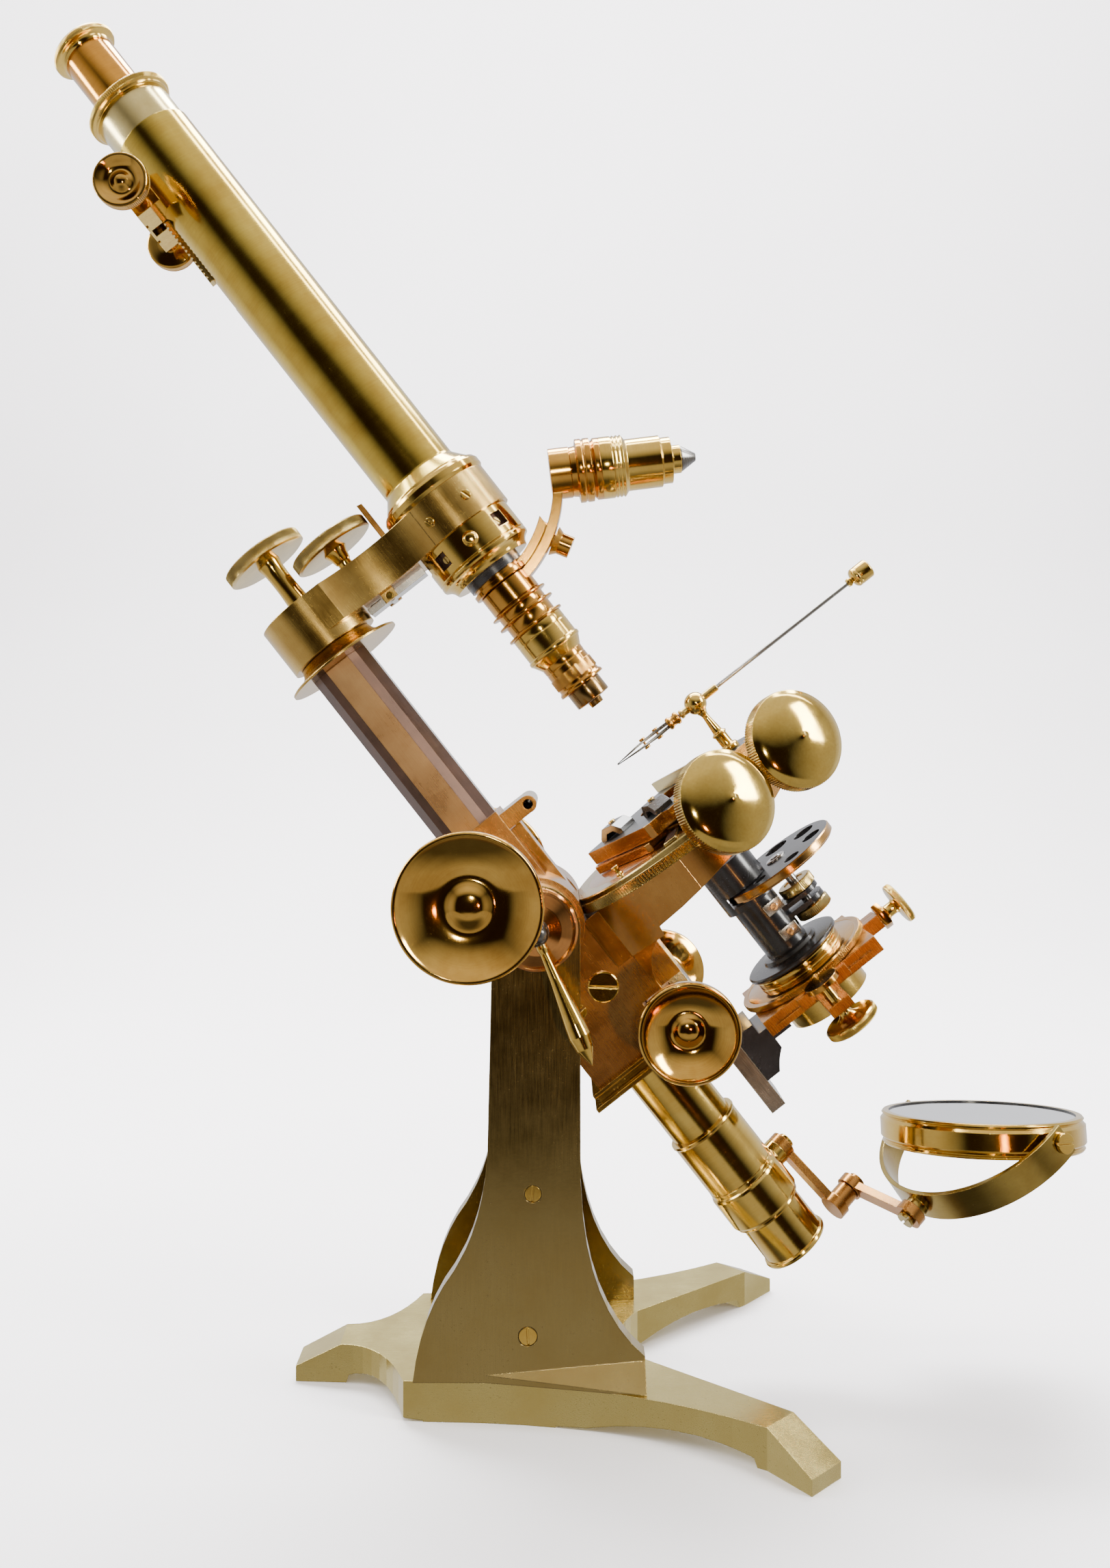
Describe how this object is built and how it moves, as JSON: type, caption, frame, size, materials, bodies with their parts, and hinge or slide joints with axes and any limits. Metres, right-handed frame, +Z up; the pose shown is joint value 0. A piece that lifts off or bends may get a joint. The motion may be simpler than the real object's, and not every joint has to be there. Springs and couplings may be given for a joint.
{
  "type": "compound microscope",
  "caption": "Antique brass compound microscope on a footed twin-pillar stand, with tilting limb, bar focus, double nosepiece, rotating stage, substage condenser and swinging mirror.",
  "frame": {"origin": "on the table, under the middle of the object's length and width at its posed lean", "axes": "+Z up, +X towards the mirror, +Y away from the clamp lever"},
  "size_m": [0.427, 0.1728, 0.5609],
  "materials": {
    "stand_brass": "satin, olive-gold",
    "lacquered_brass": "polished and lacquered",
    "bronzed_brass": "reddish bronzed lacquer",
    "stage_brass": "satin",
    "black_lacquer": "black lacquer",
    "steel": "polished",
    "glass": "clear",
    "mirror_silver": "silvered glass"
  },
  "bodies": {
    "stand": {"foot": "stand_brass", "pillars": "stand_brass", "pillar_spacers": "stand_brass", "pillar_screws": "stand_brass", "trunnion_pins": "bronzed_brass"},
    "clamp_lever": {"clamp_lever": "lacquered_brass"},
    "limb": {"limb": "bronzed_brass", "limb_base": "lacquered_brass", "gib_strip": "bronzed_brass", "limb_screws": "lacquered_brass", "stage_bracket": "bronzed_brass", "accessory_socket": "bronzed_brass", "tail_tube": "lacquered_brass"},
    "coarse_pinion": {"coarse_pinion": "lacquered_brass"},
    "bar": {"prism_bar": "bronzed_brass", "coarse_rack": "lacquered_brass", "bar_collar": "lacquered_brass"},
    "arm": {"arm": "bronzed_brass", "arm_screws": "lacquered_brass", "stop_blade": "bronzed_brass", "nose_box": "lacquered_brass", "body_tube": "lacquered_brass", "pinion_box": "lacquered_brass"},
    "arm_clamp_screw": {"arm_clamp_screw": "lacquered_brass"},
    "fine_focus_screw": {"fine_focus_screw": "lacquered_brass"},
    "fine_focus_lever": {"fine_focus_lever": "steel"},
    "nose": {"nose_tube": "black_lacquer", "nosepiece_ring": "bronzed_brass"},
    "nosepiece_swing": {"nosepiece_swing": "bronzed_brass", "high_power_objective": "lacquered_brass", "low_power_objective": "lacquered_brass"},
    "draw_tube": {"draw_tube": "lacquered_brass"},
    "draw_pinion": {"draw_pinion": "lacquered_brass"},
    "eyepiece": {"eyepiece": "lacquered_brass", "eyepiece_lenses": "glass"},
    "stage_ring": {"stage_ring": "stage_brass"},
    "stage_lower_plate": {"stage_lower_plate": "bronzed_brass"},
    "stage_upper_plate": {"stage_upper_plate": "bronzed_brass", "stage_clips": "black_lacquer"},
    "slide_bar": {"slide_bar": "stage_brass"},
    "stage_rack_knob": {"stage_rack_knob": "lacquered_brass"},
    "stage_screw_knob": {"stage_screw_knob": "lacquered_brass"},
    "forceps_post": {"forceps_post": "lacquered_brass"},
    "forceps_clip": {"forceps_clip": "lacquered_brass"},
    "forceps_rod": {"forceps_rod": "steel"},
    "substage": {"substage_slide": "steel", "substage_carrier": "bronzed_brass"},
    "substage_ring": {"substage_ring": "bronzed_brass", "condenser": "black_lacquer"},
    "ring_pinion": {"ring_pinion": "lacquered_brass"},
    "centring_screw": {"centring_screw": "lacquered_brass"},
    "aperture_wheel": {"aperture_wheel": "black_lacquer"},
    "substage_pinion": {"substage_pinion": "lacquered_brass"},
    "mirror_sleeve": {"mirror_sleeve": "lacquered_brass"},
    "mirror_collar": {"mirror_collar": "lacquered_brass"},
    "upper_link": {"upper_link": "bronzed_brass"},
    "lower_link": {"lower_link": "bronzed_brass"},
    "mirror_fork": {"mirror_fork": "lacquered_brass"},
    "mirror": {"mirror_cell": "lacquered_brass", "mirror_glass": "mirror_silver"}
  },
  "joints": [
    {"name": "limb_tilt", "type": "hinge", "parent": "stand", "child": "limb", "pos_m": [-0.01233, 0, 0.191], "axis": [0, 1, 0], "range_deg": [-51.8, 20]},
    {"name": "clamp_turn", "type": "hinge", "parent": "stand", "child": "clamp_lever", "pos_m": [-0.01233, 0, 0.191], "axis": [0, 1, 0], "range_deg": [0, 30]},
    {"name": "coarse_focus", "type": "slide", "parent": "limb", "child": "bar", "axis": [-0.6184, 0, 0.7859], "range_m": [-0.017, 0.055]},
    {"name": "coarse_turn", "type": "hinge", "parent": "limb", "child": "coarse_pinion", "pos_m": [-0.03693, 0, 0.20333], "axis": [0, 1, 0], "range_deg": [-660, 210]},
    {"name": "arm_swivel", "type": "hinge", "parent": "bar", "child": "arm", "pos_m": [-0.09718, 0, 0.30238], "axis": [-0.6184, 0, 0.7859], "range_deg": [-45, 45]},
    {"name": "arm_clamp_turn", "type": "hinge", "parent": "arm", "child": "arm_clamp_screw", "pos_m": [-0.11264, 0, 0.32203], "axis": [-0.6184, 0, 0.7859], "range_deg": [-90, 90]},
    {"name": "fine_focus_turn", "type": "hinge", "parent": "arm", "child": "fine_focus_screw", "pos_m": [-0.09292, 0, 0.33755], "axis": [-0.6184, 0, 0.7859], "range_deg": [-452, 452]},
    {"name": "nose_slide", "type": "slide", "parent": "arm", "child": "nose", "axis": [-0.6184, 0, 0.7859], "range_m": [-0.00125, 0.00125]},
    {"name": "fine_lever_rock", "type": "hinge", "parent": "arm", "child": "fine_focus_lever", "pos_m": [-0.07324, 0, 0.32338], "axis": [0, 1, 0], "range_deg": [-2.2, 2.2]},
    {"name": "nosepiece_turn", "type": "hinge", "parent": "nose", "child": "nosepiece_swing", "pos_m": [-0.05769, 0, 0.36846], "axis": [0.9245, 0, -0.3811], "range_deg": [0, 180]},
    {"name": "draw_slide", "type": "slide", "parent": "arm", "child": "draw_tube", "axis": [-0.6184, 0, 0.7859], "range_m": [-0.012, 0.038]},
    {"name": "draw_turn", "type": "hinge", "parent": "arm", "child": "draw_pinion", "pos_m": [-0.17499, 0, 0.48292], "axis": [0, 1, 0], "range_deg": [-780, 250]},
    {"name": "eyepiece_pull", "type": "slide", "parent": "draw_tube", "child": "eyepiece", "axis": [-0.6184, 0, 0.7859], "range_m": [0, 0.03]},
    {"name": "stage_rotate", "type": "hinge", "parent": "limb", "child": "stage_ring", "pos_m": [0.05085, 0, 0.23054], "axis": [-0.6184, 0, 0.7859], "range_deg": [-30, 45]},
    {"name": "stage_rack_slide", "type": "slide", "parent": "stage_ring", "child": "stage_lower_plate", "axis": [0.7122, 0.4226, 0.5605], "range_m": [-0.005, 0.012]},
    {"name": "screw_knob_turn", "type": "hinge", "parent": "stage_ring", "child": "stage_screw_knob", "pos_m": [0.08122, -0.04605, 0.26182], "axis": [-0.3321, 0.9063, -0.2614], "range_deg": [-1440, 1440]},
    {"name": "stage_screw_slide", "type": "slide", "parent": "stage_lower_plate", "child": "stage_upper_plate", "axis": [-0.3321, 0.9063, -0.2614], "range_m": [-0.00801, 0.00801]},
    {"name": "slide_bar_slide", "type": "slide", "parent": "stage_upper_plate", "child": "slide_bar", "axis": [0.7122, 0.4226, 0.5605], "range_m": [-0.008, 0.008]},
    {"name": "rack_knob_turn", "type": "hinge", "parent": "stage_ring", "child": "stage_rack_knob", "pos_m": [0.05315, -0.0627, 0.23974], "axis": [-0.3321, 0.9063, -0.2614], "range_deg": [-115, 270]},
    {"name": "forceps_swivel", "type": "hinge", "parent": "stage_upper_plate", "child": "forceps_post", "pos_m": [0.06049, -0.01805, 0.2674], "axis": [-0.6184, 0, 0.7859], "range_deg": [-60, 60]},
    {"name": "forceps_tilt", "type": "hinge", "parent": "forceps_post", "child": "forceps_clip", "pos_m": [0.05153, -0.01805, 0.27879], "axis": [0, 1, 0], "range_deg": [-10, 10]},
    {"name": "forceps_reach", "type": "slide", "parent": "forceps_clip", "child": "forceps_rod", "axis": [0.7859, 0, 0.6184], "range_m": [-0.03, 0]},
    {"name": "substage_focus", "type": "slide", "parent": "limb", "child": "substage", "axis": [-0.6184, 0, 0.7859], "range_m": [-0.008, 0.004]},
    {"name": "substage_turn", "type": "hinge", "parent": "limb", "child": "substage_pinion", "pos_m": [0.04476, 0, 0.15564], "axis": [0, 1, 0], "range_deg": [-80, 150]},
    {"name": "substage_ring_turn", "type": "hinge", "parent": "substage", "child": "substage_ring", "pos_m": [0.09908, 0, 0.16924], "axis": [-0.6184, 0, 0.7859], "range_deg": [-60, 60]},
    {"name": "ring_pinion_turn", "type": "hinge", "parent": "substage", "child": "ring_pinion", "pos_m": [0.10465, -0.0379, 0.16217], "axis": [-0.6184, 0, 0.7859], "range_deg": [-250, 250]},
    {"name": "centring_turn", "type": "hinge", "parent": "substage", "child": "centring_screw", "pos_m": [0.13268, 0, 0.19123], "axis": [0.7859, 0, 0.6184], "range_deg": [-180, 180]},
    {"name": "aperture_turn", "type": "hinge", "parent": "substage_ring", "child": "aperture_wheel", "pos_m": [0.09746, 0, 0.20105], "axis": [-0.6184, 0, 0.7859], "continuous": true},
    {"name": "mirror_slide", "type": "slide", "parent": "limb", "child": "mirror_sleeve", "axis": [-0.6184, 0, 0.7859], "range_m": [-0.012, 0.004]},
    {"name": "mirror_swing", "type": "hinge", "parent": "mirror_sleeve", "child": "mirror_collar", "pos_m": [0.07772, 0, 0.07608], "axis": [-0.6184, 0, 0.7859], "range_deg": [-30, 35]},
    {"name": "upper_link_turn", "type": "hinge", "parent": "mirror_collar", "child": "upper_link", "pos_m": [0.09076, 0.00905, 0.09105], "axis": [0.7128, 0.421, 0.5609], "range_deg": [-10, 10]},
    {"name": "lower_link_turn", "type": "hinge", "parent": "upper_link", "child": "lower_link", "pos_m": [0.11291, 0.00254, 0.06903], "axis": [0.7128, 0.421, 0.5609], "range_deg": [-10, 10]},
    {"name": "mirror_swivel", "type": "hinge", "parent": "lower_link", "child": "mirror_fork", "pos_m": [0.17298, 0.00009, 0.10167], "axis": [0.7128, 0.421, 0.5609], "range_deg": [-60, 60]},
    {"name": "mirror_tilt", "type": "hinge", "parent": "mirror_fork", "child": "mirror", "pos_m": [0.17298, 0.00009, 0.10167], "axis": [-0.4098, 0.8991, -0.1542], "continuous": true}
  ],
  "couplings": [
    {"joint": "coarse_turn", "follows": "coarse_focus", "rad_per_m": -208.33},
    {"joint": "draw_turn", "follows": "draw_slide", "rad_per_m": -357.14},
    {"joint": "substage_turn", "follows": "substage_focus", "rad_per_m": -312.5},
    {"joint": "fine_focus_turn", "follows": "nose_slide", "rad_per_m": 6283.2},
    {"joint": "fine_lever_rock", "follows": "nose_slide", "rad_per_m": -24.938},
    {"joint": "rack_knob_turn", "follows": "stage_rack_slide", "rad_per_m": 384.62},
    {"joint": "stage_screw_slide", "follows": "screw_knob_turn", "m_per_rad": 0.00031831},
    {"joint": "ring_pinion_turn", "follows": "substage_ring_turn", "ratio": -4.0541}
  ]
}
